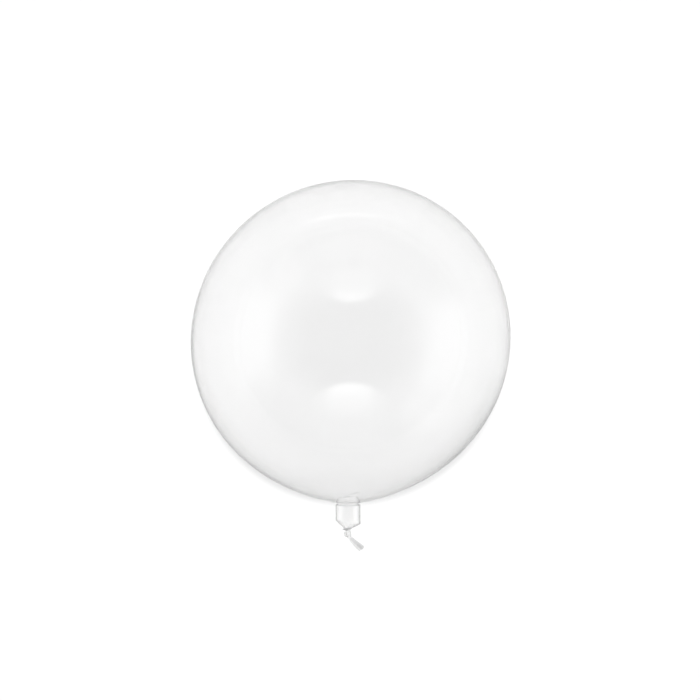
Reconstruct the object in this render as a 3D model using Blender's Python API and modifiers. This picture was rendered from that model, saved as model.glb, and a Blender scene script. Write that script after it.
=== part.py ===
"""A clear bubble balloon, 40 cm across, tied in its own neck and lying on its side.

The envelope is one piece of blown film, so it is one solid: the ball, the neck below it, the film
gathered into the knot, the knot, and the tail of film past the knot. It is sealed, so it is filled.

The envelope is modelled as it hangs, with the crown at +Z and the neck at -Z of an empty at the
ball's centre. The empty then lays it down, with the neck toward -Y. A small flat spot under the ball
rests on the ground at z = 0, and the origin is the centre of that spot.
"""

import math

import bmesh
import bpy
from mathutils import Matrix, Vector

# The ball, in metres, degrees and shares of its radius.
BALL_RADIUS = 0.200
OVAL = 0.0098  # as blown, it is this much longer along one diagonal and this much shorter across it
OVAL_LEAN = 50.0  # the long diagonal leans this far from the crown toward +X
NECK_DRAW, NECK_DRAW_ANGLE = 0.0257, 20.6  # how far, and how widely, it is drawn out at the neck
REST_RADIUS = 0.025  # of the flat spot that it lies on

# The neck, in metres. Heights are along the envelope's own axis, from the ball's centre.
NECK_OFFSET = -0.0034  # the neck sits a little to one side of the ball's axis
WAIST_RADIUS, CUP_RADIUS = 0.0131, 0.0155
CUP_TOP, CUP_HEIGHT = -0.2072, 0.0196
SHOULDER_HEIGHT = 0.0008
CUP_DROP = 0.0048  # how much lower the cup's wall runs on its +X side
WRINKLES, WRINKLE_DEPTH = 9, 0.0006

# The film gathered below the cup, and the knot tied in it.
PINCH = Vector((-0.0038, 0.0, -0.2376))
PINCH_RADIUS = 0.0042
PLEATS, PLEAT_DEPTH = 12, 0.16  # the depth is a share of the radius at the pinch
COLLAR_HEIGHT, COLLAR_RADIUS = 0.0011, 0.0036  # where the film turns in under the pinch
LIP_REACH, LIP_WIDTH = 0.0030, 20.0  # a fold that stands out there, and its half width in degrees
# Rings of the turned film: how far below the pinch, how wide and how much of the lip, as shares.
COLLAR_RINGS = ((1.0, 1.0, 1.0), (1.6, 0.7, 0.3), (2.2, 0.375, 0.0))
STRAND_RADIUS = 0.0015
KNOT_CENTRE = Vector((-0.0025, 0.0, -0.2434))
KNOT_LEAN = 12.0  # degrees, toward the tail
KNOT_HALF = 0.0028  # half the height of its winding
KNOT_WEAVE, KNOT_LOOP = 1.15, 2.9  # of the twisted strands and the loop round them, in strand radii
KNOT_LOOP_TURN = -150.0  # degrees round the knot at which the loop lies
KNOT_STEPS, KNOT_STEP = 6, 90.0  # each winding is one and a half turns, in steps of this many degrees
KNOT_CLIMB = (50.0, 90.0, 130.0)  # where the loop's points lie on its half turn back up

# The tail, which spreads from the knot to the cut mouth of the neck.
TAIL_START, TAIL_END = Vector((-0.0013, 0.0, -0.2467)), Vector((0.0139, 0.0015, -0.2632))
TAIL_WIDTH, TAIL_THICKNESS = 0.0086, 0.0024
TAIL_FOLDS, TAIL_FOLD_DEPTH = 5, 0.7  # the depth is a share of the half thickness
TAIL_FOLDS_START, TAIL_FOLDS_FULL = 0.15, 0.8  # where they set in, as shares of the tail's length

# How finely the solid is faceted.
BALL_SIDES, BALL_RINGS = 64, 36
NECK_SIDES, WAIST_RINGS = 48, 4
GATHER_RINGS, TAIL_RINGS, TAIL_SIDES = 8, 8, 40
STRAND_STEPS, STRAND_ROUND = 5, 3  # along each stretch of the knot's strand, and round it
KNOT_FACET = 0.0005
SAME_POINT = 0.00001
OVERLAP = 0.012  # how far the neck runs up inside the ball


def clear_scene():
    for obj in list(bpy.data.objects):
        bpy.data.objects.remove(obj, do_unlink=True)


def smooth(low, high, value):
    """0 at low, 1 at high, with no corner at either end."""
    share = min(max((value - low) / (high - low), 0.0), 1.0)
    return share * share * (3 - 2 * share)


def mix(first, second, share):
    return first + (second - first) * share


def collection(name):
    made = bpy.data.collections.new(name)
    bpy.context.scene.collection.children.link(made)
    return made


def film_material():
    """Clear blown film: colourless, glossy and see-through."""
    material = bpy.data.materials.new("clear_film")
    material.use_nodes = True
    shader = material.node_tree.nodes["Principled BSDF"]
    shader.inputs["Base Color"].default_value = (0.93, 0.94, 0.95, 1.0)
    shader.inputs["Roughness"].default_value = 0.04
    shader.inputs["Metallic"].default_value = 0.0
    shader.inputs["Transmission Weight"].default_value = 1.0
    return material


def new_object(name, mesh, group, parent):
    obj = bpy.data.objects.new(name, mesh)
    group.objects.link(obj)
    obj.parent = parent
    return obj


def as_helper(obj):
    """Keeps a shape that only a Boolean uses out of the finished object."""
    obj.hide_render = True
    obj.display_type = "WIRE"
    return obj


def boolean(obj, other, operation):
    modifier = obj.modifiers.new(f"{operation.lower()} {other.name}", "BOOLEAN")
    modifier.operation = operation
    modifier.object = other


def loft(name, rings, group, parent):
    """A closed skin over rings of equal length, listed from the top down, anticlockwise from above."""
    shape = bmesh.new()
    rows = [[shape.verts.new(point) for point in ring] for ring in rings]
    for upper, lower in zip(rows, rows[1:]):
        for i in range(len(upper)):
            j = (i + 1) % len(upper)
            shape.faces.new((upper[j], upper[i], lower[i], lower[j])).smooth = True
    shape.faces.new(rows[0])
    shape.faces.new(reversed(rows[-1]))
    bmesh.ops.recalc_face_normals(shape, faces=shape.faces)
    mesh = bpy.data.meshes.new(name)
    shape.to_mesh(mesh)
    shape.free()
    return new_object(name, mesh, group, parent)


def bearings(sides):
    """Even turns of a circle, half a step on, so that no edge of the neck runs along one of the ball's."""
    return [2 * math.pi * (i + 0.5) / sides for i in range(sides)]


def mesh_of(obj):
    """The object's mesh with its modifiers applied. The object itself is removed."""
    evaluated = obj.evaluated_get(bpy.context.evaluated_depsgraph_get())
    mesh = bpy.data.meshes.new_from_object(evaluated)
    bpy.data.objects.remove(obj, do_unlink=True)
    return mesh


def ball_reach(from_neck):
    """The distance from the ball's centre to its skin, at this many degrees from the neck's axis."""
    return BALL_RADIUS * (1 + NECK_DRAW * math.exp(-((from_neck / NECK_DRAW_ANGLE) ** 2)))


def oval():
    """The slight stretch along one diagonal of the ball, seen from the side it lies under."""
    lean = Matrix.Rotation(math.radians(OVAL_LEAN), 4, "Y")
    return lean @ Matrix.Diagonal((1 - OVAL, 1.0, 1 + OVAL, 1.0)) @ lean.inverted()


def make_ball(group, parent):
    """The ball, turned from its profile, which runs from the crown down to the neck's side."""
    profile = bmesh.new()
    points = []
    for i in range(BALL_RINGS + 1):
        from_crown = 180.0 * i / BALL_RINGS
        reach = ball_reach(180.0 - from_crown)
        side = reach * math.sin(math.radians(from_crown)) if 0 < i < BALL_RINGS else 0.0
        points.append(profile.verts.new((side, 0.0, reach * math.cos(math.radians(from_crown)))))
    for upper, lower in zip(points, points[1:]):
        profile.edges.new((upper, lower))
    mesh = bpy.data.meshes.new("profile")
    profile.to_mesh(mesh)
    profile.free()
    turned = new_object("turned ball", mesh, group, None)
    turn = turned.modifiers.new("turn the ball", "SCREW")
    turn.steps = turn.render_steps = BALL_SIDES
    turn.use_merge_vertices = True
    turn.merge_threshold = SAME_POINT
    turn.use_smooth_shade = True
    ball = new_object("balloon", mesh_of(turned), group, parent)
    ball.data.transform(oval())
    return ball


def neck_ring(height, radius, wrinkle=0.0):
    """A ring round the neck's own axis, with the waist's upright wrinkles where it has any."""
    ring = []
    for turn in bearings(NECK_SIDES):
        reach = radius + wrinkle * math.cos(WRINKLES * turn)
        ring.append(Vector((NECK_OFFSET + reach * math.cos(turn), reach * math.sin(turn), height)))
    return ring


def gather_ring(share):
    """A ring of the film between the cup's lower edge, at 0, and the pinch above the knot, at 1.

    The cup's wall ends lower on its +X side, and the pleats grow toward the pinch.
    """
    ring = []
    across = mix(NECK_OFFSET, PINCH.x, share)
    for turn in bearings(NECK_SIDES):
        edge = CUP_TOP - CUP_HEIGHT - CUP_DROP * (1 + math.cos(turn)) / 2
        pleat = 1 + PLEAT_DEPTH * smooth(0.1, 1.0, share) * math.cos(PLEATS * turn)
        reach = mix(CUP_RADIUS, PINCH_RADIUS, share) * pleat
        height = mix(edge, PINCH.z, share)
        ring.append(Vector((across + reach * math.cos(turn), reach * math.sin(turn), height)))
    return ring


def collar_ring(drop, radius, lip):
    """A ring just under the pinch, with the fold that stands out on its -X side."""
    ring = []
    for turn in bearings(NECK_SIDES):
        from_lip = math.degrees(abs(turn - math.pi)) / LIP_WIDTH
        reach = radius + lip * math.exp(-(from_lip**2))
        ring.append(PINCH + Vector((reach * math.cos(turn), reach * math.sin(turn), -drop)))
    return ring


def make_neck(group, parent):
    """The waist with its wrinkles, the cup below it and the gathered film down into the knot."""
    waist_top = -ball_reach(0.0) + OVERLAP
    waist_heights = [mix(waist_top, CUP_TOP, i / WAIST_RINGS) for i in range(WAIST_RINGS)]
    rings = [neck_ring(height, WAIST_RADIUS, WRINKLE_DEPTH) for height in waist_heights]
    rings.append(neck_ring(CUP_TOP + SHOULDER_HEIGHT, WAIST_RADIUS, WRINKLE_DEPTH))
    rings.append(neck_ring(CUP_TOP, CUP_RADIUS - SHOULDER_HEIGHT / 2))
    rings.append(neck_ring(CUP_TOP - SHOULDER_HEIGHT, CUP_RADIUS))
    rings.append(neck_ring(CUP_TOP - CUP_HEIGHT / 2, CUP_RADIUS))
    rings += [gather_ring(step / GATHER_RINGS) for step in range(GATHER_RINGS + 1)]
    for drop, width, lip in COLLAR_RINGS:
        rings.append(collar_ring(COLLAR_HEIGHT * drop, COLLAR_RADIUS * width, LIP_REACH * lip))
    return loft("neck", rings, group, parent)


def knot_route():
    """The strand's way through an overhand knot, from the pinch down into the tail.

    It winds one and a half turns down, climbs back outside in a loop, and winds down once more
    between its own turns, so that the loop holds both ends.
    """
    weave, loop = KNOT_WEAVE * STRAND_RADIUS, KNOT_LOOP * STRAND_RADIUS

    def winding(first_turn):
        for step in range(KNOT_STEPS + 1):
            turn = math.radians(first_turn + KNOT_STEP * step)
            height = mix(KNOT_HALF, -KNOT_HALF, step / KNOT_STEPS)
            yield Vector((weave * math.cos(turn), weave * math.sin(turn), height))

    route = list(winding(KNOT_LOOP_TURN + 180))
    side = math.radians(KNOT_LOOP_TURN)
    for climb in KNOT_CLIMB:
        out = mix(weave, loop, math.sin(math.radians(climb)))
        height = -KNOT_HALF * math.cos(math.radians(climb))
        route.append(Vector((out * math.cos(side), out * math.sin(side), height)))
    route += winding(KNOT_LOOP_TURN)
    place = Matrix.Translation(KNOT_CENTRE) @ Matrix.Rotation(math.radians(-KNOT_LEAN), 4, "Y")
    into_tail = (TAIL_END - TAIL_START).normalized() * STRAND_RADIUS
    return [PINCH, *(place @ point for point in route), TAIL_START + into_tail]


def make_knot(group, parent):
    """The overhand knot: a tube along its route, whose turns are then fused where they press."""
    curve = bpy.data.curves.new("knot strand", "CURVE")
    curve.dimensions = "3D"
    curve.resolution_u = STRAND_STEPS
    curve.bevel_depth = STRAND_RADIUS
    curve.bevel_resolution = STRAND_ROUND
    curve.use_fill_caps = True
    route = knot_route()
    spline = curve.splines.new("BEZIER")
    spline.bezier_points.add(len(route) - 1)
    for point, place in zip(spline.bezier_points, route):
        point.co = place
        point.handle_left_type = point.handle_right_type = "AUTO"
    strand = bpy.data.objects.new("knot strand", curve)
    group.objects.link(strand)
    mesh = mesh_of(strand)
    shape = bmesh.new()
    shape.from_mesh(mesh)
    bmesh.ops.remove_doubles(shape, verts=shape.verts, dist=SAME_POINT)
    shape.to_mesh(mesh)
    shape.free()
    knot = new_object("knot", mesh, group, parent)
    fuse = knot.modifiers.new("fuse the turns", "REMESH")
    fuse.mode = "VOXEL"
    fuse.voxel_size = KNOT_FACET
    fuse.use_smooth_shade = True
    return knot


def tail_ring(share):
    """A flattened, folded ring round the tail's own line, from the knot at 0 to the cut mouth at 1."""
    along = (TAIL_END - TAIL_START).normalized()
    front = Vector((0.0, -1.0, 0.0))
    across = along.cross(front).normalized()
    depth = across.cross(along)
    half_width = mix(STRAND_RADIUS, TAIL_WIDTH / 2, smooth(0.0, 1.0, share))
    half_depth = mix(STRAND_RADIUS, TAIL_THICKNESS / 2, share)
    fold = smooth(TAIL_FOLDS_START, TAIL_FOLDS_FULL, share) * half_depth * TAIL_FOLD_DEPTH
    ring = []
    for turn in bearings(TAIL_SIDES):
        side = math.cos(turn)
        ripple = fold * math.cos(TAIL_FOLDS * math.pi * side)
        offset = across * (half_width * side) + depth * (half_depth * math.sin(turn) + ripple)
        ring.append(mix(TAIL_START, TAIL_END, share) + offset)
    return ring


def make_tail(group, parent):
    rings = [tail_ring(step / TAIL_RINGS) for step in range(TAIL_RINGS + 1)]
    return loft("tail", rings, group, parent)


def make_ground_cutter(group):
    """Everything below the ground under the ball, which leaves the flat spot."""
    mesh = bpy.data.meshes.new("ground")
    shape = bmesh.new()
    side = 4 * REST_RADIUS  # wider and deeper than what it cuts off
    bmesh.ops.create_cube(shape, size=side)
    shape.to_mesh(mesh)
    shape.free()
    cutter = bpy.data.objects.new("ground", mesh)
    group.objects.link(cutter)
    cutter.location = (0.0, 0.0, -side / 2)
    return cutter


def main():
    clear_scene()
    balloon_parts = collection("clear_balloon")
    helpers = collection("helpers")
    axis = bpy.data.objects.new("ball_centre", None)
    balloon_parts.objects.link(axis)
    axis.location = (0.0, 0.0, math.sqrt(BALL_RADIUS**2 - REST_RADIUS**2))
    axis.rotation_euler = (math.radians(-90.0), 0.0, 0.0)

    balloon = make_ball(balloon_parts, axis)
    for make in (make_neck, make_knot, make_tail):
        boolean(balloon, as_helper(make(helpers, axis)), "UNION")
    boolean(balloon, as_helper(make_ground_cutter(helpers)), "DIFFERENCE")
    balloon.data.materials.append(film_material())


main()
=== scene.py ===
"""A clear bubble balloon of blown film, tied in its own neck, on its side in a small studio.

The film is drawn as one skin with two faces, so that light bends and mirrors at both, as in the
real one. It is worked out as the balloon hangs, with the crown at +Z and the neck at -Z of the
ball's centre, and then laid down, with the neck toward -Y. Sizes are in metres and follow the
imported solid.
"""

import math
from collections import namedtuple

import bmesh
import bpy
from bpy.props import FloatProperty, FloatVectorProperty, IntProperty, PointerProperty
from mathutils import Matrix, Vector


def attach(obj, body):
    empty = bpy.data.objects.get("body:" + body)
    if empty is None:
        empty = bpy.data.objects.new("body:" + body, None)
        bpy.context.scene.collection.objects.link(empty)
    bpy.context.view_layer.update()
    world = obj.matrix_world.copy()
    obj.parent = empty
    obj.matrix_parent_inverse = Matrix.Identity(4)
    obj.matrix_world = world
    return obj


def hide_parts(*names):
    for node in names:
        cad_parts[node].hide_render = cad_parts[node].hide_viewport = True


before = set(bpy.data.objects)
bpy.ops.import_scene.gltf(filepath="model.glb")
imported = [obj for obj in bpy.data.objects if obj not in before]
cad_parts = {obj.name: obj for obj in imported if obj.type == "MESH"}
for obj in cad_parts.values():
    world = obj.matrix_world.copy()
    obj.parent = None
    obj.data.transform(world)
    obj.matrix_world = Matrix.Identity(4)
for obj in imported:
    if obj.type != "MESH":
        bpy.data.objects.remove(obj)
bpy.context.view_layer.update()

bl_info = {
    "name": "Clear bubble balloon",
    "version": (1, 0, 0),
    "blender": (4, 5, 0),
    "location": "3D View > Sidebar > Balloon",
    "description": "Makes a clear film balloon over its packed solid, and the studio round it",
    "category": "Add Mesh",
}

NODE = "balloon"


# ---- Settings ------------------------------------------------------------


def length(name, default, description):
    return FloatProperty(
        name=name, description=description, default=default, unit="LENGTH", precision=5
    )


def angle(name, degrees, description):
    return FloatProperty(
        name=name, description=description, default=math.radians(degrees), subtype="ANGLE"
    )


def share(name, default, description):
    return FloatProperty(
        name=name, description=description, default=default, subtype="FACTOR", precision=4
    )


def amount(name, default, description):
    return FloatProperty(name=name, description=description, default=default)


def count(name, default, description):
    return IntProperty(name=name, description=description, default=default, min=1)


def place(name, default, description):
    return FloatVectorProperty(
        name=name, description=description, default=default, subtype="TRANSLATION", precision=5
    )


def from_hex(code):
    """The linear colour of an sRGB hex code."""
    values = [int(code[i : i + 2], 16) / 255 for i in (0, 2, 4)]
    return [v / 12.92 if v <= 0.04045 else ((v + 0.055) / 1.055) ** 2.4 for v in values]


def colour(name, code, description):
    return FloatVectorProperty(
        name=name, description=description, default=from_hex(code), subtype="COLOR", min=0, max=1
    )


class BallSettings(bpy.types.PropertyGroup):
    """The blown ball."""

    radius: length("Radius", 0.200, "Of the ball, before its slight stretch")
    oval: share("Oval", 0.0098, "How much longer it is along one diagonal, and shorter across it")
    oval_lean: angle("Oval lean", 50.0, "How far the long diagonal leans from the crown toward +X")
    neck_draw: share("Neck draw", 0.0257, "How far the film is drawn out at the neck")
    neck_draw_angle: angle(
        "Neck draw angle", 20.6, "How wide the drawn part is, from the neck's axis"
    )
    rest_radius: length("Flat spot", 0.025, "Radius of the patch that the ball lies on")
    rest_easing: length("Flat spot easing", 0.0004, "How softly that patch starts")
    wall: length("Film wall", 0.0002, "Thickness that the stretched film is drawn with")


class NeckSettings(bpy.types.PropertyGroup):
    """The unstretched film below the ball, and its gathers."""

    offset: length("Offset", -0.0034, "How far the neck sits from the ball's axis, in X")
    waist_radius: length("Waist radius", 0.0131, "Where the ball meets the neck")
    cup_radius: length("Cup radius", 0.0155, "Of the film tube below the waist")
    cup_top: length("Cup top", -0.2072, "Height of the cup's upper rim")
    cup_height: length("Cup height", 0.0196, "From the rim to the first fold, at -X")
    cup_drop: length("Cup drop", 0.0048, "How much lower the first fold runs at +X")
    wrinkles: count("Wrinkles", 9, "Main puckers round the waist")
    wrinkle_depth: length("Wrinkle depth", 0.00055, "Of the puckers at the waist")
    wrinkle_run: length("Wrinkle run", 0.013, "How far they fade out over the ball")
    pleats: count("Pleats", 12, "Folds of the gathered film")
    pleat_depth: share("Pleat depth", 0.12, "Of the radius, at the pinch")
    pinch: place("Pinch", (-0.0038, 0.0, -0.2376), "Where the gathers meet")
    pinch_radius: length("Pinch radius", 0.0043, "Over the crests of the pleats")
    collar_height: length("Collar height", 0.0011, "From the pinch to the turned film")
    collar_radius: length("Collar radius", 0.0036, "Of the film that turns in there")
    lip_reach: length("Lip reach", 0.0030, "How far one fold stands out there, at -X")
    lip_width: angle("Lip width", 20.0, "Half the width of that fold")


class KnotSettings(bpy.types.PropertyGroup):
    """The overhand knot in the twisted neck."""

    strand: length("Strand radius", 0.0015, "Of the twisted film")
    strand_folds: count("Strand folds", 7, "Creases round the twisted film")
    fold_depth: share("Fold depth", 0.13, "Of the strand's radius")
    centre: place("Centre", (-0.0030, 0.0, -0.2434), "Of the knot")
    lean: angle("Lean", 12.0, "Of the knot toward the tail")
    half: length("Half height", 0.0028, "Of the knot's winding")
    weave: share("Weave", 1.15, "Radius of the winding, in strand radii")
    loop: share("Loop", 2.9, "Reach of the outer loop, in strand radii")
    loop_turn: angle("Loop bearing", -150.0, "Where the outer loop lies round the knot")
    facet: length("Facet", 0.00013, "Size of the faces where the turns fuse")


class TailSettings(bpy.types.PropertyGroup):
    """The fan of film past the knot, up to its cut mouth."""

    start: place("Start", (-0.0036, 0.0, -0.2467), "Inside the knot")
    end: place("End", (0.0139, 0.0015, -0.2632), "Middle of the cut mouth")
    width: length("Width", 0.0084, "Of the fan at the mouth")
    thickness: length("Thickness", 0.0022, "Through the folds at the mouth")
    wall: length("Film wall", 0.00025, "Thickness that the tail's film is drawn with")
    folds: count("Folds", 5, "Half waves across the fan")
    twist: angle("Twist", 28.0, "Of the fan from the knot to the mouth")


class FinishSettings(bpy.types.PropertyGroup):
    """Colours and gloss of the film."""

    film: colour("Film", "FCFCFC", "What the stretched film lets through, seen face on")
    film_edge: colour("Film edge", "D6D6D6", "What it lets through where it is seen edge on")
    near_neck: share("Near the neck", 0.930, "What the ball lets through there, beside its crown")
    neck: colour("Neck", "FEFEFE", "The same for the unstretched film of the neck")
    neck_edge: colour("Neck edge", "C2C2C2", "The neck's film seen edge on")
    gather: colour("Gathers", "FCFCFC", "The same for the gathered film")
    gather_edge: colour("Gathers edge", "DCDCDC", "The gathered film seen edge on")
    knot: colour("Knot", "F2F2F2", "The film pulled tight into the knot")
    knot_edge: colour("Knot edge", "868686", "The knot's film seen edge on")
    # The lip's grey is partly its many layers of film and partly painted shade of the groove under
    # the gathers.
    lip: colour("Lip", "A4A4A4", "The fold that stands out at the pinch, in many layers")
    lip_edge: colour("Lip edge", "585858", "That fold seen edge on")
    tail: colour("Tail", "FAFAFA", "The folded film of the tail, seen face on")
    tail_edge: colour("Tail edge", "C0C0C0", "The tail's film seen edge on")
    ior: amount("IOR", 1.5, "Of clear polyurethane")
    layered_ior: amount("Layered IOR", 1.2, "Of folded film with air in its folds")


class StudioSettings(bpy.types.PropertyGroup):
    """The floor, the lights round it and the camera."""

    floor: colour("Floor", "F0F0F0", "Matt white vinyl")
    # The ring of shade below is a painted shadow, darkened into the floor's own colour.
    shade_shift: length("Shade shift", 0.0090, "How far the ring of shade lies toward the neck")
    shade_radius: length("Shade radius", 0.2091, "Of the ring where it is deepest")
    shade_depth: share("Shade depth", 0.21, "How much light the floor loses there")
    floor_drop: length("Floor drop", 0.0004, "How far the floor lies below the film")
    floor_lamp: amount("Floor lamp", 219.0, "Watts, on the floor alone")
    side_light: amount("Side light", 0.48, "Radiance of the side panels")
    front_light: amount("Front light", 0.24, "Radiance of the low front panel")
    top_light: amount("Top light", 1.75, "Radiance of the small softbox")
    strip_light: amount("Strip", 0.25, "Radiance of the low strip")
    right_bearing: angle("Right panel", -19.0, "Where it stands, from +X round to +Y")
    left_bearing: angle("Left panel", 180.0, "Where it stands, from +X round to +Y")
    dark_bearing: angle("Dark side", -40.0, "Where the room is darkest, from +X round to +Y")
    dark_side: amount("Darkness", 0.30, "How much darker it is there")
    line_bearing: angle("Dark foot", -152.0, "Where only the foot of the room is dark")
    dark_line: amount("Foot darkness", 0.24, "How much darker it is there")
    dark_ceiling: amount("Dark ceiling", 0.45, "How much darker it is there")
    camera_distance: length("Camera distance", 2.4, "From the ball's centre")
    view_width: length("View width", 0.8790, "Width of the view at the ball's centre")
    view_centre: place("View centre", (-0.00088, -0.0132, 0.0), "What the camera is above")


# ---- Small helpers -------------------------------------------------------


def smooth(low, high, value):
    """0 at low, 1 at high, with no corner at either end."""
    part = min(max((value - low) / (high - low), 0.0), 1.0)
    return part * part * (3 - 2 * part)


def mix(first, second, part):
    return first + (second - first) * part


def steps(first, last, number):
    """This many values from first up to but not last."""
    return [mix(first, last, i / number) for i in range(number)]


def bearings(sides):
    return [2 * math.pi * i / sides for i in range(sides)]


def node(tree, kind, links=(), stops=(), ease=False, **settings):
    """Adds a shader node with these settings.

    links pairs its inputs with plain values, with sockets, or with nodes, which stand for their
    first output in use. stops, as pairs of position and colour, fill a colour ramp.
    """
    made = tree.nodes.new(kind)
    for name, value in settings.items():
        setattr(made, name, value)
    if stops:
        made.color_ramp.interpolation = "EASE" if ease else "LINEAR"
        elements = made.color_ramp.elements
        elements.remove(elements[1])
        for i, (position, tint) in enumerate(stops):
            stop = elements.new(position) if i else elements[0]
            stop.position = position
            stop.color = (*tint, 1.0)
    for name, value in dict(links).items():
        if isinstance(value, bpy.types.Node):
            value = next(socket for socket in value.outputs if socket.enabled)
        if isinstance(value, bpy.types.NodeSocket):
            tree.links.new(value, made.inputs[name])
        else:
            made.inputs[name].default_value = value
    return made


def greys(levels):
    """Pairs of position and brightness, from 0 to 1, as a colour ramp's stops."""
    return [(position, (bright,) * 3) for position, bright in levels]


def new_object(name, mesh):
    made = bpy.data.objects.new(name, mesh)
    bpy.context.scene.collection.objects.link(made)
    return made


# ---- The film's shape ----------------------------------------------------

SIDES = 180  # round the ball and the neck: 15 for each pleat
TAIL_SIDES = 144  # round the tail
NO_SIZE = 1e-9  # a ring smaller than this is a point

NECK_PULL = 0.045  # radius on the ball where its rings start to move toward the neck
BALL_ABOVE_CUP = 0.0035  # rings higher than this over the cup still follow the ball's curve
WAIST_FILLET = 0.0012  # between the ball and the waist
SHOULDER_FILLET = 0.0006  # between the waist and the cup's shoulder
SHOULDER_FALL = 0.0001  # of the shoulder, on its way out to the cup's rim
RIM_FILLET = 0.0010  # between the shoulder and the cup's wall

# How deep the waist's puckers still are on the shoulder, at the rim, on the wall and at the fold.
ON_SHOULDER, AT_RIM, ON_WALL, AT_FOLD = 0.9, 0.6, 0.15, 0.25
# The waist's puckers as waves: their share, how many for each main one, how many more, and a shift.
PUCKERS = ((0.55, 1, 0, 0.0), (0.30, 2, -1, 1.3), (0.22, 3, -4, 0.5))

PLEAT_DRIFT = ((0.07, 2), (0.03, 5))  # how far the pleats stray, and how often round the neck
PLEAT_SHARPNESS = 0.8  # below 1 the crests are narrower than the valleys
PLEAT_UNEVENNESS = 0.3  # of the pleats' depths
WALL_PLEATS, FOLD_PLEATS = 0.004, 0.02  # their depth, of the radius: low on the wall, at the fold
INNER_PLEATS = 0.7  # how deep the inner face follows them

GATHER_WALL = 0.0003  # how much thicker the film gets where it is gathered
AIR_END = 0.86  # how far into the gathers the air inside reaches
AIR_TIP = 0.0013  # length of its rounded end

QUARTERS = 6  # of a turn, that the knot's strand winds each time
STRAND_TWIST = math.radians(25)  # of the strand, between the points of its route
CREASE_SIDES = 8  # of the strand, for each of its creases

TAIL_DEPTH, FOLD_HEIGHT = 0.3, 0.30  # half the tail's own depth, and its folds', of its thickness
FINE_FOLDS, FINE_HEIGHT = 2.6, 0.25  # its finer folds, beside the main ones
TAIL_BOW = 0.0006  # how far its middle bows out
MOUTH_WAVE = 0.0007  # of its cut edge

# One ring of the skin. Beside its radius, height and move in X it has its share of the puckers,
# the pleats' depth, its share of the fold's drop and of the lip, an added wall, and its share of
# the ball's oval stretch.
Station = namedtuple(
    "Station", "radius height offset wrinkle pleat drop lip inset oval", defaults=(0.0,) * 9
)


def ball_reach(ball, from_neck):
    """The distance from the ball's centre to its skin, at this angle from the neck's axis."""
    draw = ball.neck_draw * math.exp(-((from_neck / ball.neck_draw_angle) ** 2))
    return ball.radius * (1 + draw)


def stretched(ball, point, part):
    """The point moved by this part of the ball's oval stretch."""
    long = Vector((math.sin(ball.oval_lean), 0.0, math.cos(ball.oval_lean)))
    short = Vector((long.z, 0.0, -long.x))
    moved = long * point.dot(long) - short * point.dot(short)
    return point + moved * (ball.oval * part)


def pucker(neck, turn):
    """The waist's puckers at this bearing, from about -1 to 1: a main set and two finer ones."""
    return sum(
        part * math.cos((times * neck.wrinkles + more) * turn + shift)
        for part, times, more, shift in PUCKERS
    )


def pleat(neck, turn):
    """0 on a pleat's crest and -1 in a valley. The pleats are uneven, as hand-gathered film is."""
    bent = turn
    for drift, times in PLEAT_DRIFT:
        bent += drift * math.sin(times * turn)
    valley = (1 - math.cos(neck.pleats * bent)) / 2
    return -(valley**PLEAT_SHARPNESS) * (1 + PLEAT_UNEVENNESS * math.cos(3 * turn + 2.0))


def ball_stations(ball, neck):
    """From the crown down to the fillet at the waist, with closer rings toward the neck."""
    low = neck.waist_radius + WAIST_FILLET
    last = math.asin(low / ball_reach(ball, 0.0))
    coarse, fine = math.radians(45), math.radians(14)
    turns = steps(math.pi, coarse, 45) + steps(coarse, fine, 14) + steps(fine, last, 16)
    for from_neck in turns + [last]:
        reach = ball_reach(ball, from_neck)
        radius = reach * math.sin(from_neck) if from_neck < math.pi else 0.0
        lower_half = from_neck < math.pi / 2
        near = smooth(NECK_PULL, low, radius) if lower_half else 0.0
        fade = math.exp(-(((radius - low) / neck.wrinkle_run) ** 2))
        yield Station(
            radius=radius,
            height=-reach * math.cos(from_neck),
            offset=neck.offset * near,
            wrinkle=fade if lower_half else 0.0,
            oval=1 - near,
        )


def neck_stations(neck, top):
    """From top, the fillet, the waist, the cup's shoulder and its wall down to the first fold."""
    shoulder = neck.cup_top + SHOULDER_FILLET + SHOULDER_FALL
    wall_top, wall_end = neck.cup_top - RIM_FILLET, neck.cup_top - neck.cup_height
    at = Station(offset=neck.offset, wrinkle=1.0)
    for turn in steps(math.radians(15), math.radians(90), 5):
        yield at._replace(
            radius=neck.waist_radius + WAIST_FILLET * (1 - math.sin(turn)),
            height=top - WAIST_FILLET * (1 - math.cos(turn)),
        )
    for height in steps(top - WAIST_FILLET, shoulder, 4):
        yield at._replace(radius=neck.waist_radius, height=height)
    for turn in steps(0.0, math.radians(75), 4):
        yield at._replace(
            radius=neck.waist_radius + SHOULDER_FILLET * (1 - math.cos(turn)),
            height=shoulder - SHOULDER_FILLET * math.sin(turn),
            wrinkle=ON_SHOULDER,
        )
    for turn in steps(math.radians(12), math.radians(90), 6):
        yield at._replace(
            radius=neck.cup_radius - RIM_FILLET * (1 - math.sin(turn)),
            height=wall_top + RIM_FILLET * math.cos(turn),
            wrinkle=mix(AT_RIM, ON_WALL, turn / math.radians(90)),
        )
    for height in steps(wall_top, wall_end, 12):
        down = (wall_top - height) / (wall_top - wall_end)
        yield at._replace(
            radius=neck.cup_radius,
            height=height,
            wrinkle=mix(ON_WALL, AT_FOLD, down),
            drop=smooth(0.3, 1.3, down) * 1.4,
            pleat=WALL_PLEATS * smooth(0.5, 1.0, down),
        )


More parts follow.
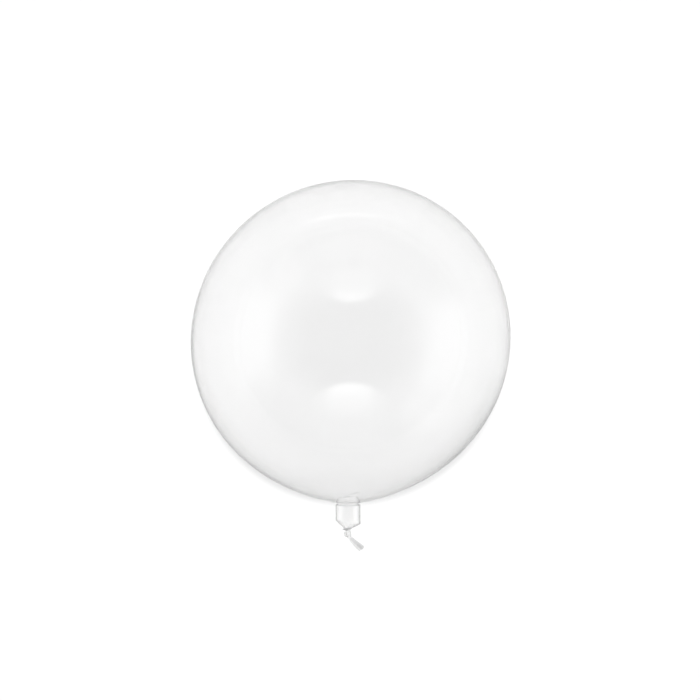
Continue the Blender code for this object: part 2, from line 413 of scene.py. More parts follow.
def gather_stations(neck, number, last):
    """The film between the first fold, at 0, and the pinch, at 1, down to last."""
    for down in steps(0.0, last, number) + [last]:
        yield Station(
            radius=mix(neck.cup_radius, neck.pinch_radius, down),
            height=mix(neck.cup_top - neck.cup_height, neck.pinch.z, down),
            offset=mix(neck.offset, neck.pinch.x, down),
            wrinkle=AT_FOLD * (1 - down),
            pleat=mix(FOLD_PLEATS, neck.pleat_depth, smooth(0.0, 1.0, down)),
            drop=1 - down,
            inset=GATHER_WALL * smooth(0.3, 0.9, down),
        )


def envelope_stations(ball, neck, number, last):
    """From the crown down into the gathers, with this many there."""
    stations = list(ball_stations(ball, neck))
    stations += neck_stations(neck, stations[-1].height)
    return stations + list(gather_stations(neck, number, last))


def collar_stations(neck, strand):
    """The film that turns in under the pinch, down into the knot."""
    # How far below the pinch, in collar heights, the radius, the lip's share, the pleats' depth.
    profile = (
        (0.35, neck.pinch_radius * 0.98, 0.45, 0.30),
        (0.70, neck.pinch_radius * 0.94, 0.85, 0.26),
        (1.00, neck.collar_radius, 1.00, 0.22),
        (1.22, neck.collar_radius * 0.86, 0.80, 0.20),
        (1.60, neck.collar_radius * 0.66, 0.30, 0.18),
        (2.20, strand * 0.90, 0.0, 0.10),
        (2.60, strand * 0.60, 0.0, 0.0),
        (2.70, 0.0, 0.0, 0.0),
    )
    return [
        Station(
            radius=radius,
            height=neck.pinch.z - neck.collar_height * drop,
            offset=neck.pinch.x,
            lip=lip,
            pleat=depth,
        )
        for drop, radius, lip, depth in profile
    ]


def ring(ball, neck, station, normal, inner):
    """One ring of the skin: its outer face, or the inner face a wall's thickness inside it."""
    points = []
    inset = (ball.wall + station.inset) if inner else 0.0
    for turn in bearings(SIDES):
        off = neck.wrinkle_depth * station.wrinkle * pucker(neck, turn)
        pleat_off = station.radius * station.pleat * pleat(neck, turn)
        off += pleat_off * (INNER_PLEATS if inner else 1.0)
        radius = station.radius + normal[0] * (off - inset)
        height = station.height + normal[1] * (off - inset)
        if station.lip:
            from_lip = abs(turn - math.pi) / neck.lip_width
            radius += neck.lip_reach * station.lip * math.exp(-(from_lip**2))
        height -= neck.cup_drop * station.drop * (1 + math.cos(turn)) / 2
        x, y = station.offset + radius * math.cos(turn), radius * math.sin(turn)
        if station.offset and station.height > neck.cup_top + BALL_ABOVE_CUP:
            height += (x * x + y * y - radius * radius) / (2 * ball.radius)
        points.append(stretched(ball, Vector((x, y, height)), station.oval))
    return points


def profile_normals(stations):
    """The outward direction at each station, as (sideways, up)."""
    normals = []
    for i in range(len(stations)):
        before, after = stations[max(i - 1, 0)], stations[min(i + 1, len(stations) - 1)]
        side, up = after.radius - before.radius, after.height - before.height
        size = math.hypot(side, up)
        normals.append((-up / size, side / size))
    normals[0] = (0.0, 1.0)
    return normals


def skin_rings(ball, neck, stations, inner):
    normals = profile_normals(stations)
    return [ring(ball, neck, s, n, inner) for s, n in zip(stations, normals)]


def close_rings(shape, rings, inward=False):
    """Joins rings, listed from the top down, into a closed skin.

    A ring of no size becomes one point.
    """
    rows = []
    for points in rings:
        if (points[0] - points[len(points) // 2]).length < NO_SIZE:
            points = points[:1]
        rows.append([shape.verts.new(point) for point in points])
    for upper, lower in zip(rows, rows[1:]):
        sides = max(len(upper), len(lower))
        for i in range(sides):
            j = (i + 1) % sides
            if len(upper) == 1:
                corners = [upper[0], lower[i], lower[j]]
            elif len(lower) == 1:
                corners = [upper[j], upper[i], lower[0]]
            else:
                corners = [upper[j], upper[i], lower[i], lower[j]]
            face = shape.faces.new(reversed(corners) if inward else corners)
            face.smooth = True
    for row, flip in ((rows[0], False), (rows[-1], True)):
        if len(row) > 1:
            shape.faces.new(reversed(row) if flip != inward else row).smooth = True


def mesh_from(name, shape):
    mesh = bpy.data.meshes.new(name)
    shape.to_mesh(mesh)
    shape.free()
    return mesh


def outer_skin(ball, neck, knot):
    """The face toward the room, from the crown down into the knot."""
    stations = envelope_stations(ball, neck, 24, 1.0) + collar_stations(neck, knot.strand)
    shape = bmesh.new()
    close_rings(shape, skin_rings(ball, neck, stations, False))
    return mesh_from("outer skin", shape)


def inner_skin(ball, neck):
    """The face toward the air inside, down to a closed tip in the gathers."""
    stations = envelope_stations(ball, neck, 20, AIR_END)
    last = stations[-1]
    for down in (0.25, 0.5, 0.72, 0.88, 0.97):
        stations.append(
            last._replace(
                radius=last.radius * math.sqrt(1 - down * down),
                height=last.height - down * AIR_TIP,
                pleat=last.pleat * (1 - down),
                inset=last.inset * (1 - down),
                wrinkle=0.0,
                drop=last.drop * (1 - down),
            )
        )
    rings = skin_rings(ball, neck, stations, True)
    tip = sum(rings[-1], Vector()) / SIDES
    rings[-1] = [tip] * SIDES
    shape = bmesh.new()
    close_rings(shape, rings, inward=True)
    return mesh_from("inner skin", shape)


def knot_route(neck, knot, tail):
    """The strand's way through an overhand knot, from the pinch down into the tail.

    It winds one and a half turns down, climbs back outside in a loop, and winds down once more
    between its own turns, so that the loop holds both ends.
    """
    weave, loop = knot.weave * knot.strand, knot.loop * knot.strand

    def winding(first_turn):
        for quarter in range(QUARTERS + 1):
            turn = first_turn + math.radians(90 * quarter)
            height = mix(knot.half, -knot.half, quarter / QUARTERS)
            yield Vector((weave * math.cos(turn), weave * math.sin(turn), height))

    route = list(winding(knot.loop_turn + math.pi))
    for climb in (50, 90, 130):
        out = mix(weave, loop, math.sin(math.radians(climb)))
        height = -knot.half * math.cos(math.radians(climb))
        route.append(
            Vector((out * math.cos(knot.loop_turn), out * math.sin(knot.loop_turn), height))
        )
    route += winding(knot.loop_turn)
    put = Matrix.Translation(knot.centre) @ Matrix.Rotation(-knot.lean, 4, "Y")
    into_tail = (tail.end - tail.start).normalized() * knot.strand
    return [neck.pinch.copy(), *(put @ point for point in route), tail.start + into_tail]


def knot_skin(neck, knot, tail):
    """The twisted strand of film along its route, with its turns fused where they press."""
    section = bpy.data.curves.new("strand section", "CURVE")
    spline = section.splines.new("POLY")
    sides = knot.strand_folds * CREASE_SIDES
    spline.points.add(sides - 1)
    for point, turn in zip(spline.points, bearings(sides)):
        reach = knot.strand * (1 + knot.fold_depth * math.cos(knot.strand_folds * turn))
        point.co = (reach * math.cos(turn), reach * math.sin(turn), 0.0, 1.0)
    spline.use_cyclic_u = True
    section_object = new_object("strand section", section)
    curve = bpy.data.curves.new("strand", "CURVE")
    curve.dimensions = "3D"
    curve.resolution_u = 10
    curve.bevel_mode = "OBJECT"
    curve.bevel_object = section_object
    curve.use_fill_caps = True
    route = knot_route(neck, knot, tail)
    spline = curve.splines.new("BEZIER")
    spline.bezier_points.add(len(route) - 1)
    for i, (point, at) in enumerate(zip(spline.bezier_points, route)):
        point.co = at
        point.handle_left_type = point.handle_right_type = "AUTO"
        point.tilt = STRAND_TWIST * i
    strand = new_object("strand", curve)
    fuse = strand.modifiers.new("fuse the turns", "REMESH")
    fuse.mode = "VOXEL"
    fuse.voxel_size = knot.facet
    fuse.use_smooth_shade = True
    depsgraph = bpy.context.evaluated_depsgraph_get()
    mesh = bpy.data.meshes.new_from_object(strand.evaluated_get(depsgraph))
    mesh.name = "knot"
    for helper in (strand, section_object):
        bpy.data.objects.remove(helper, do_unlink=True)
    return mesh


def tail_ring(knot, tail, down, inner):
    """A flat, folded ring round the tail's line, from the knot, at 0, to the cut mouth, at 1.

    The fan widens all the way and thickens early, and its hollow opens just past the knot.
    """
    along = (tail.end - tail.start).normalized()
    across = along.cross(Vector((0.0, -1.0, 0.0))).normalized()
    depth = across.cross(along)
    twist = tail.twist * (down - 1.0)
    across, depth = (
        across * math.cos(twist) + depth * math.sin(twist),
        depth * math.cos(twist) - across * math.sin(twist),
    )
    wall = tail.wall if inner else 0.0
    full = mix(knot.strand, tail.width / 2, smooth(-0.5, 1.0, down))
    half_width = full - wall
    thick = mix(knot.strand * 0.9, tail.thickness * TAIL_DEPTH, smooth(0.0, 0.8, down))
    half_depth = thick - wall
    if inner:
        closing = smooth(0.10, 0.35, down)
        half_width *= closing
        half_depth *= mix(0.3, 1.0, closing)
    fold = smooth(0.1, 0.9, down) * tail.thickness * FOLD_HEIGHT
    bow = depth * (TAIL_BOW * math.sin(math.pi * down))
    points = []
    for turn in bearings(TAIL_SIDES):
        side = math.cos(turn)
        wide = half_width * side
        ripple = fold * math.cos(tail.folds * math.pi * wide / full + 0.5)
        finer = FINE_FOLDS * tail.folds * wide / full * math.pi
        ripple += FINE_HEIGHT * fold * math.cos(finer + 1.0)
        edge = along * (MOUTH_WAVE * down**4 * math.cos(3 * side + 1.0))
        offset = across * wide + depth * (half_depth * math.sin(turn) + ripple) + edge + bow
        points.append(mix(tail.start, tail.end, down) + offset)
    return points


def tail_skin(knot, tail):
    """The tail's outer face, down to the mouth, and back up inside it to a closed tip."""
    rings = [tail_ring(knot, tail, down, False) for down in steps(0.0, 1.0, 32)]
    rings.append(tail_ring(knot, tail, 1.0, False))
    rings += [tail_ring(knot, tail, down, True) for down in steps(1.0, 0.14, 26)]
    tip = sum(tail_ring(knot, tail, 0.12, True), Vector()) / TAIL_SIDES
    rings.append([tip] * TAIL_SIDES)
    shape = bmesh.new()
    close_rings(shape, rings)
    bmesh.ops.recalc_face_normals(shape, faces=shape.faces)
    return mesh_from("tail", shape)


def lay_down(ball, mesh, inset=0.0):
    """Turns hanging film to lie with its neck toward -Y, flattened where it meets the ground."""
    lift = math.sqrt(ball.radius**2 - ball.rest_radius**2)
    mesh.transform(Matrix.Translation((0, 0, lift)) @ Matrix.Rotation(-math.pi / 2, 4, "X"))
    for vertex in mesh.vertices:
        above = vertex.co.z - inset
        vertex.co.z = inset + (above + math.hypot(above, ball.rest_easing)) / 2


def join_skins(name, outer, others, inner):
    """One mesh: the outer skins joined where they overlap, and the inner skin, toward the air."""
    body = new_object(name, outer)
    helpers = [new_object(mesh.name, mesh) for mesh in others]
    for helper in helpers:
        union = body.modifiers.new(f"join {helper.name}", "BOOLEAN")
        union.operation = "UNION"
        union.solver = "EXACT"
        union.object = helper
    depsgraph = bpy.context.evaluated_depsgraph_get()
    joined = bpy.data.meshes.new_from_object(body.evaluated_get(depsgraph))
    body.modifiers.clear()
    for helper in helpers:
        bpy.data.objects.remove(helper, do_unlink=True)
    shape = bmesh.new()
    shape.from_mesh(joined)
    shape.from_mesh(inner)
    for face in shape.faces:
        face.smooth = True
    body.data = mesh_from(name, shape)
    return body


# ---- The film's finishes -------------------------------------------------

DOWN_AXIS = ((0.0, 0.0, 0.0), (0.0, -0.21, 0.0))  # from the ball's centre to the top of the cup
DRAWN = (1.0, 0.25, 1.0)  # the blowing draws the film's waves out along the axis
WAVE_STRENGTH = 0.3  # how much of their height the gloss shows
WAVE_FLATNESS = 160  # how long they are beside their height
RIM_BAND = 0.0025  # how far above and below the rim of the cup its finish changes
TIED_RISE = 0.0012  # how far above the pinch the knot's finish starts
UNTIED_FALL = 0.001  # how far below the tail's start it ends
LIP_TOP, LIP_END = 0.2, 1.9  # where the folded lip lies below the pinch, in collar heights
TAIL_MIDDLE = 0.6  # how far along the tail the line across its layers lies

BALL, NECK, GATHERS, KNOT, LIP, TAIL = range(6)  # the order of the film's materials


def film_material(
    name,
    tints,
    edges,
    haze,
    ripple,
    ior,
    layers=((0.0, 1.0),),
    line=DOWN_AXIS,
    cloud=((0.0, 0.0),),
):
    """Clear blown polyurethane film.

    Face on it is colourless and vanishes but for what it mirrors. Edge on the eye looks along the
    wall, so it darkens to a fine grey line: edges gives where the one of its two tints ends and the
    other is reached. Its gloss is high, with faint long waves from the blowing: haze gives its
    least and most roughness, and ripple the distance between the waves. Where it lies in more
    layers less light comes through: layers gives how much, at shares of the way along a line, and
    where it is over 1 the film gives out more light than reaches it, a painted highlight. cloud
    gives how much duller it is there, along the same line.
    """
    material = bpy.data.materials.new(name)
    material.use_nodes = True
    tree = material.node_tree
    shader = tree.nodes["Principled BSDF"]
    shader.inputs["Transmission Weight"].default_value = 1.0
    shader.inputs["IOR"].default_value = ior
    shader.inputs["Metallic"].default_value = 0.0
    facing = node(tree, "ShaderNodeLayerWeight", {"Blend": 0.5}).outputs["Facing"]
    tint = node(tree, "ShaderNodeValToRGB", {"Fac": facing}, stops=zip(edges, tints), ease=True)
    coordinates = node(tree, "ShaderNodeTexCoord").outputs["Object"]
    start, run = Vector(line[0]), Vector(line[1]) - Vector(line[0])
    from_start = node(
        tree, "ShaderNodeVectorMath", {0: coordinates, 1: start}, operation="SUBTRACT"
    )
    along = node(
        tree,
        "ShaderNodeVectorMath",
        {0: from_start, 1: run / run.length_squared},
        operation="DOT_PRODUCT",
    )
    kept = node(tree, "ShaderNodeValToRGB", {"Fac": along}, stops=greys(layers))
    tinted = node(tree, "ShaderNodeVectorMath", {0: tint, 1: kept}, operation="MULTIPLY")
    tree.links.new(tinted.outputs["Vector"], shader.inputs["Base Color"])
    drawn = node(tree, "ShaderNodeMapping", {"Vector": coordinates, "Scale": DRAWN})
    waves = node(
        tree, "ShaderNodeTexNoise", {"Vector": drawn, "Scale": 1 / ripple, "Detail": 2.0}
    )
    gloss = node(tree, "ShaderNodeMapRange", {"Value": waves, "To Min": haze[0], "To Max": haze[1]})
    duller = node(tree, "ShaderNodeValToRGB", {"Fac": along}, stops=greys(cloud))
    roughness = node(tree, "ShaderNodeMath", {0: gloss, 1: duller}, operation="ADD")
    tree.links.new(roughness.outputs["Value"], shader.inputs["Roughness"])
    bump = node(
        tree,
        "ShaderNodeBump",
        {"Height": waves, "Strength": WAVE_STRENGTH, "Distance": ripple / WAVE_FLATNESS},
    )
    tree.links.new(bump.outputs["Normal"], shader.inputs["Normal"])
    return material


def film_materials(neck, tail, finish):
    """The ball's, the neck's, the gathers', the knot's, the folded lip's and the tail's finish."""
    near = finish.near_neck
    rim, band = Vector((0.0, neck.cup_top, 0.0)), Vector((0.0, RIM_BAND, 0.0))
    run = Vector(tail.end) - Vector(tail.start)
    middle = Vector(tail.start).lerp(Vector(tail.end), TAIL_MIDDLE)
    middle = Vector((middle.x, middle.z, 0.0))
    across = Vector((-run.z, run.x, 0.0)).normalized() * tail.width / 2
    crumpled = {"haze": (0.05, 0.15), "ripple": 0.002, "ior": finish.layered_ior}
    # Tight and thin: it shows little but what it mirrors, and softens where it meets the neck.
    # Down toward the neck it lets less light through, and at the waist it gives out more light
    # than reaches it, a painted highlight.
    yield film_material(
        "clear film, blown and stretched",
        (finish.film, finish.film_edge),
        edges=(0.76, 1.0),
        haze=(0.0, 0.05),
        ripple=0.030,
        ior=finish.ior,
        layers=(
            (0.0, 1.0),
            (0.45, 0.984),
            (0.78, near + 0.027),
            (0.84, near + 0.005),
            (0.88, near + 0.005),
            (0.92, 0.955),
            # From here on it gives out more light than reaches it: a painted highlight at the
            # waist.
            (0.95, 1.01),
            (0.975, 1.09),
        ),
        cloud=((0.0, 0.0), (0.90, 0.0), (0.95, 0.07)),
    )
    # Thicker, with short waves. Just above its rim it gives out more light than reaches it, a
    # painted highlight, over a thin dark line painted at the rim, where the film is seen edge on.
    yield film_material(
        "clear film, unstretched neck",
        (finish.neck, finish.neck_edge),
        edges=(0.25, 1.0),
        haze=(0.06, 0.14),
        ripple=0.006,
        ior=finish.ior,
        # 1.12 above the rim is the painted highlight, 0.89 at the rim the painted dark line.
        layers=((0.0, 1.12), (0.32, 1.12), (0.48, 0.89), (0.64, 0.89), (0.78, 1.0)),
        line=(rim + band, rim - band),
    )
    # Soft folds with air between them, pale and broken up.
    yield film_material(
        "clear film, gathered",
        (finish.gather, finish.gather_edge),
        edges=(0.3, 1.0),
        haze=(0.03, 0.12),
        ripple=0.002,
        ior=finish.layered_ior,
    )
    # Pulled tight in many layers, so that it is greyer, and greyest in the fold over the knot. That
    # fold's grey is partly its many layers and partly painted shade of the groove under the
    # gathers.
    yield film_material(
        "clear film, knotted", (finish.knot, finish.knot_edge), edges=(0.1, 1.0), **crumpled
    )
    yield film_material(
        "clear film, folded lip", (finish.lip, finish.lip_edge), edges=(0.0, 1.0), **crumpled
    )
    # Folded flat: greyer where the layers are more, toward one edge.
    yield film_material(
        "clear film, folded tail",
        (finish.tail, finish.tail_edge),
        edges=(0.2, 1.0),
        layers=((0.0, 0.99), (0.25, 0.96), (0.55, 0.87), (1.0, 0.91)),
        line=(middle - across, middle + across),
        **crumpled,
    )


def kind_at(neck, tail, point):
    """Which of the film's materials is at this point. Its Y is its height as the balloon hangs."""
    beside = min(max((point.x - neck.offset) / neck.cup_radius, -1.0), 1.0)
    fold = neck.cup_top - neck.cup_height - neck.cup_drop * (1 + beside) / 2
    lip_top = neck.pinch.z - LIP_TOP * neck.collar_height
    lip_end = neck.pinch.z - LIP_END * neck.collar_height
    if point.y > neck.cup_top + RIM_BAND:
        return BALL
    if point.y > fold:
        return NECK
    if point.y > neck.pinch.z + TIED_RISE:
        return GATHERS
    if point.y <= tail.start.z - UNTIED_FALL:
        return TAIL
    return LIP if lip_end < point.y < lip_top and point.x < neck.pinch.x else KNOT


def dress(mesh, neck, tail, finish):
    """Gives each part of the film its finish."""
    mesh.materials.clear()
    for material in film_materials(neck, tail, finish):
        mesh.materials.append(material)
    for face in mesh.polygons:
        face.material_index = kind_at(neck, tail, face.center)


# ---- The studio ----------------------------------------------------------

# How bright the room is at these heights of the direction it is seen in, from straight down to up.
ROOM = (
    (-1.0, 1.0),
    (-0.955, 0.84),
    (-0.90, 0.62),
    (-0.6, 0.55),
    (-0.28, 0.56),
    (0.1, 0.56),
    (0.47, 0.52),
    (1.0, 0.50),
)
FRONT_BEARING = -math.pi / 2  # of the low front panel, past the tail
EDGE_ON = 0.02  # a direction this near a panel's own plane, or behind it, doesn't meet the panel

# How bright a softbox's cloth is at shares of its width or height. The top one's lamp is high.
CLOTH = (
    (0.0, 0.0),
    (0.14, 0.20),
    (0.36, 0.90),
    (0.50, 1.0),
    (0.64, 0.90),
    (0.86, 0.20),
    (1.0, 0.0),
)
TOP_CLOTH = (
    (0.0, 0.0),
    (0.20, 0.14),
    (0.40, 0.32),
    (0.60, 0.56),
    (0.74, 0.88),
    (0.84, 1.0),
    (1.0, 0.0),
)
CLOTH_BEND = 1.6  # how far the cloth's sides sag from its middle, at the square of the distance

SOFTBOX_PLACE, SOFTBOX_SIZE = (0.0, -1.86, 2.14), (2.6, 1.60)
STRIP_PLACE, STRIP_SIZE = (-0.10, 1.32, 0.142), (1.6, 0.20)
LAMP_PLACE, LAMP_SIZE = (0.0, 0.1, 5.0), 2.0
FLOOR_RADIUS = 14.0
GRAIN = 0.0025  # between the vinyl's grains, several times the real distance so that they show
GRAIN_DARK = 0.985  # how bright they are beside the rest
# The painted shadow: a ring darkened into the floor's colour.
SHADE_INSIDE, SHADE_OUTSIDE = 0.016, 0.012  # how far the ring of shade fades either way
SHADE_START, SHADE_FULL = -0.04, -0.17  # it lies on the neck's side, between these places in Y
CLIP_END = 100.0  # past the far edge of the floor


def floor_material(studio, ball):
    """Matt white rolled vinyl: even and pale, with a fine grain.

    Where the light grazes the film it loses some of itself. A faint soft ring of shade for that is
    painted into the vinyl's colour, a painted shadow, since the film casts none. It shows just
    past the ball on its neck side.
    """
    material = bpy.data.materials.new("matt white vinyl")
    material.use_nodes = True
    tree = material.node_tree
    shader = tree.nodes["Principled BSDF"]
    shader.inputs["Roughness"].default_value = 0.9
    shader.inputs["Specular IOR Level"].default_value = 0.0
    coordinates = node(tree, "ShaderNodeTexCoord").outputs["Object"]
    grain = node(
        tree, "ShaderNodeTexNoise", {"Vector": coordinates, "Scale": 1 / GRAIN, "Detail": 3.0}
    )
    vinyl = node(
        tree,
        "ShaderNodeMixRGB",
        {
            "Fac": grain,
            "Color1": (*(GRAIN_DARK * value for value in studio.floor), 1.0),
            "Color2": (*studio.floor, 1.0),
        },
    )
    oval = node(
        tree,
        "ShaderNodeMapping",
        {
            "Vector": coordinates,
            "Location": (0.0, -studio.shade_shift, 0.0),
            "Rotation": (0.0, 0.0, math.pi / 2 - ball.oval_lean),
            "Scale": (1 + ball.oval, 1 - ball.oval, 1.0),
        },
        vector_type="TEXTURE",
    )
    out = node(tree, "ShaderNodeVectorMath", {0: oval}, operation="LENGTH")
    away = node(tree, "ShaderNodeSeparateXYZ", {"Vector": coordinates}).outputs["Y"]
    # Painted shadow: the ring darkens the floor's own colour, deepest on the neck's side.
    shade = 1.0
    for value, none, full in (
        (out, studio.shade_radius - SHADE_INSIDE, studio.shade_radius),
        (out, studio.shade_radius + SHADE_OUTSIDE, studio.shade_radius),
        (away, SHADE_START, SHADE_FULL),
    ):
        side = node(
            tree,
            "ShaderNodeMapRange",
            {"Value": value, "From Min": none, "From Max": full},
            interpolation_type="SMOOTHSTEP",
        )
        shade = node(tree, "ShaderNodeMath", {0: shade, 1: side}, operation="MULTIPLY")
    left = node(
        tree,
        "ShaderNodeMath",
        {0: shade, 1: -studio.shade_depth, 2: 1.0},
        operation="MULTIPLY_ADD",
    )
    shaded = node(tree, "ShaderNodeVectorMath", {0: vinyl, "Scale": left}, operation="SCALE")
    tree.links.new(shaded.outputs["Vector"], shader.inputs["Base Color"])
    return material


def make_floor(studio, ball):
    shape = bmesh.new()
    bmesh.ops.create_circle(shape, cap_ends=True, radius=FLOOR_RADIUS, segments=64)
    floor = new_object("studio_floor", mesh_from("studio_floor", shape))
    floor.location.z = -studio.floor_drop
    floor.data.materials.append(floor_material(studio, ball))
    floor.visible_glossy = False


def area_light(name, at, toward, size, radiance, across, upward):
    """A softbox that shows in the film and not to the camera.

    Radiance is what it looks like, 1 for white. Its cloth is unevenly lit: across and upward give
    how bright it is at shares of its width and height.
    """
    light = bpy.data.lights.new(name, "AREA")
    light.shape = "RECTANGLE"
    light.size, light.size_y = size
    light.energy = radiance * light.size * light.size_y * math.pi
    light.use_nodes = True
    tree = light.node_tree
    surface = node(tree, "ShaderNodeNewGeometry").outputs["Parametric"]
    cloth = node(tree, "ShaderNodeSeparateXYZ", {"Vector": surface}).outputs
    aside = node(tree, "ShaderNodeMath", {0: cloth["X"], 1: 0.5}, operation="SUBTRACT")
    sag = node(tree, "ShaderNodeMath", {0: aside, 1: aside}, operation="MULTIPLY")
    rise = node(
        tree, "ShaderNodeMath", {0: sag, 1: CLOTH_BEND, 2: cloth["Y"]}, operation="MULTIPLY_ADD"
    )
    aside_glow, rising_glow = (
        node(tree, "ShaderNodeValToRGB", {"Fac": value}, stops=greys(levels), ease=True)
        for value, levels in ((cloth["X"], across), (rise, upward))
    )
    glow = node(tree, "ShaderNodeMath", {0: aside_glow, 1: rising_glow}, operation="MULTIPLY")
    tree.links.new(glow.outputs["Value"], tree.nodes["Emission"].inputs["Strength"])
    lamp = new_object(name, light)
    lamp.location = at
    lamp.rotation_euler = (Vector(toward) - Vector(at)).to_track_quat("-Z", "Y").to_euler()
    lamp.visible_camera = lamp.visible_diffuse = False


def make_lights(studio, centre):
    """The small softbox, the low strip and the lamp that lights the floor alone."""
    for name, at, size, radiance, upward in (
        ("small_softbox", SOFTBOX_PLACE, SOFTBOX_SIZE, studio.top_light, TOP_CLOTH),
        ("low_strip", STRIP_PLACE, STRIP_SIZE, studio.strip_light, CLOTH),
    ):
        area_light(name, at, centre, size, radiance, CLOTH, upward)
    light = bpy.data.lights.new("floor_lamp", "AREA")
    light.size = LAMP_SIZE
    light.energy = studio.floor_lamp
    lamp = new_object("floor_lamp", light)
    lamp.location = LAMP_PLACE
    lamp.visible_camera = lamp.visible_glossy = lamp.visible_transmission = False


def soft_panel(tree, direction, facing, up, middle, half, softness, bright):
    """What a flat panel adds to the room in this direction. A negative brightness takes light away.

    The panel is square to facing. Its middle, half size and softness of edge, across and up, are in
    shares of its distance.
    """
    facing, up = Vector(facing).normalized(), Vector(up)
    toward, *beside = (
        node(tree, "ShaderNodeVectorMath", {0: direction, 1: axis}, operation="DOT_PRODUCT")
        for axis in (facing, up.cross(facing), up)
    )
    distance = node(tree, "ShaderNodeMath", {0: toward, 1: EDGE_ON}, operation="MAXIMUM")
    seen = node(tree, "ShaderNodeMath", {0: toward, 1: EDGE_ON}, operation="GREATER_THAN")
    for i, part in enumerate(beside):
        at = node(tree, "ShaderNodeMath", {0: part, 1: distance}, operation="DIVIDE")
        off = node(tree, "ShaderNodeMath", {0: at, 1: middle[i]}, operation="SUBTRACT")
        off = node(tree, "ShaderNodeMath", {0: off}, operation="ABSOLUTE")
        within = node(
            tree,
            "ShaderNodeMapRange",
            {"Value": off, "From Min": half[i] + softness[i], "From Max": half[i] - softness[i]},
            interpolation_type="SMOOTHSTEP",
        )
        seen = node(tree, "ShaderNodeMath", {0: seen, 1: within}, operation="MULTIPLY")
    return node(tree, "ShaderNodeMath", {0: seen, 1: bright}, operation="MULTIPLY")


def make_world(studio):
    """A pale room, dark overhead, where the camera is.

    A soft panel stands on either side and a low one in front. At one bearing the room is darker up
    to the horizon, and at another only at its foot.
    """
    world = bpy.data.worlds.new("pale room")
    bpy.context.scene.world = world
    world.use_nodes = True
    tree = world.node_tree
    direction = node(tree, "ShaderNodeTexCoord").outputs["Generated"]
    height = node(tree, "ShaderNodeSeparateXYZ", {"Vector": direction}).outputs["Z"]
    share_up = node(
        tree, "ShaderNodeMapRange", {"Value": height, "From Min": -1.0, "From Max": 1.0}
    )
    levels = greys(((up + 1) / 2, bright) for up, bright in ROOM)
    total = node(tree, "ShaderNodeValToRGB", {"Fac": share_up}, stops=levels, ease=True)
    right, left, front, dark, foot = (
        (math.cos(bearing), math.sin(bearing), 0.0)
        for bearing in (
            studio.right_bearing,
            studio.left_bearing,
            FRONT_BEARING,
            studio.dark_bearing,
            studio.line_bearing,
        )
    )
    upright = (0.0, 0.0, 1.0)
    # Which way each panel lies, its up, and its middle, half size, softness and brightness.
    for facing, up, middle, half, softness, bright in (
        (right, upright, (0.0, 0.20), (0.78, 0.43), (0.30, 0.20), studio.side_light),
        (left, upright, (0.0, 0.20), (0.58, 0.43), (0.30, 0.20), studio.side_light),
        (front, upright, (0.0, 0.25), (0.42, 0.20), (0.25, 0.14), studio.front_light),
        (dark, upright, (0.0, -3.0), (0.36, 2.4), (0.32, 0.5), -studio.dark_side),
        (foot, upright, (0.0, -4.0), (0.9, 1.6), (0.5, 0.4), -studio.dark_line),
        (upright, (0.0, 1.0, 0.0), (0.0, 0.0), (0.95, 0.73), (0.57, 0.46), -studio.dark_ceiling),
    ):
        panel = soft_panel(tree, direction, facing, up, middle, half, softness, bright)
        total = node(tree, "ShaderNodeMath", {0: total, 1: panel}, operation="ADD")
    tree.links.new(total.outputs["Value"], tree.nodes["Background"].inputs["Color"])


def make_camera(studio, centre):
    data = bpy.data.cameras.new("camera")
    data.lens = data.sensor_width * studio.camera_distance / studio.view_width
    camera = new_object("camera", data)
    camera.location = studio.view_centre + Vector((0, 0, centre.z + studio.camera_distance))
    data.clip_end = CLIP_END
    bpy.context.scene.camera = camera


# ---- The add-on ----------------------------------------------------------


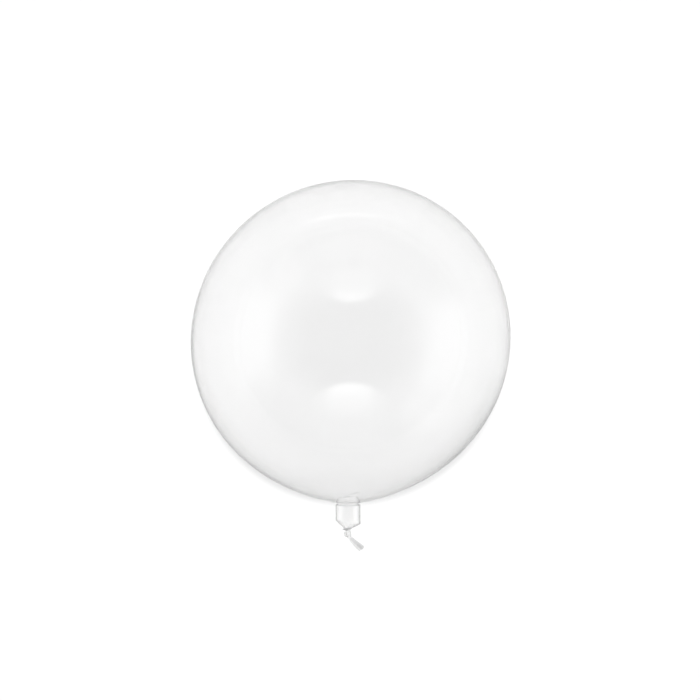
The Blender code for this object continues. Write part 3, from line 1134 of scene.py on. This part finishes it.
class BALLOON_OT_make_film(bpy.types.Operator):
    """Makes the balloon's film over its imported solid"""

    bl_idname = "balloon.make_film"
    bl_label = "Make the film"

    def execute(self, context):
        settings = context.scene
        ball, neck = settings.balloon_ball, settings.balloon_neck
        knot, tail = settings.balloon_knot, settings.balloon_tail
        outer = outer_skin(ball, neck, knot)
        others = [knot_skin(neck, knot, tail), tail_skin(knot, tail)]
        inner = inner_skin(ball, neck)
        for mesh in (outer, *others):
            lay_down(ball, mesh)
        lay_down(ball, inner, ball.wall)
        body = join_skins("balloon_film", outer, others, inner)
        dress(body.data, neck, tail, settings.balloon_finish)
        body.visible_shadow = body.visible_diffuse = False
        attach(body, "root")
        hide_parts(NODE)
        return {"FINISHED"}


class BALLOON_OT_make_studio(bpy.types.Operator):
    """Makes the floor, the lights and the camera"""

    bl_idname = "balloon.make_studio"
    bl_label = "Make the studio"

    def execute(self, context):
        ball, studio = context.scene.balloon_ball, context.scene.balloon_studio
        centre = Vector((0, 0, math.sqrt(ball.radius**2 - ball.rest_radius**2)))
        make_floor(studio, ball)
        make_lights(studio, centre)
        make_world(studio)
        make_camera(studio, centre)
        context.scene.view_settings.view_transform = "Standard"
        return {"FINISHED"}


class BALLOON_PT_sidebar(bpy.types.Panel):
    """Lists the balloon's settings and what makes it."""

    bl_label = "Clear bubble balloon"
    bl_idname = "BALLOON_PT_sidebar"
    bl_space_type = "VIEW_3D"
    bl_region_type = "UI"
    bl_category = "Balloon"

    def draw(self, context):
        for name in SETTINGS:
            box = self.layout.box()
            group = getattr(context.scene, name)
            for field in group.bl_rna.properties:
                if field.identifier not in ("rna_type", "name"):
                    box.prop(group, field.identifier)
        for operator in OPERATORS:
            self.layout.operator(operator.bl_idname)


SETTINGS = {
    "balloon_ball": BallSettings,
    "balloon_neck": NeckSettings,
    "balloon_knot": KnotSettings,
    "balloon_tail": TailSettings,
    "balloon_finish": FinishSettings,
    "balloon_studio": StudioSettings,
}
OPERATORS = (BALLOON_OT_make_film, BALLOON_OT_make_studio)


def register():
    for name, group in SETTINGS.items():
        bpy.utils.register_class(group)
        setattr(bpy.types.Scene, name, PointerProperty(type=group))
    for made in (*OPERATORS, BALLOON_PT_sidebar):
        bpy.utils.register_class(made)


def unregister():
    for made in (BALLOON_PT_sidebar, *reversed(OPERATORS)):
        bpy.utils.unregister_class(made)
    for name, group in SETTINGS.items():
        delattr(bpy.types.Scene, name)
        bpy.utils.unregister_class(group)


def main():
    register()
    bpy.ops.balloon.make_film()
    bpy.ops.balloon.make_studio()


if __name__ == "__main__":
    main()
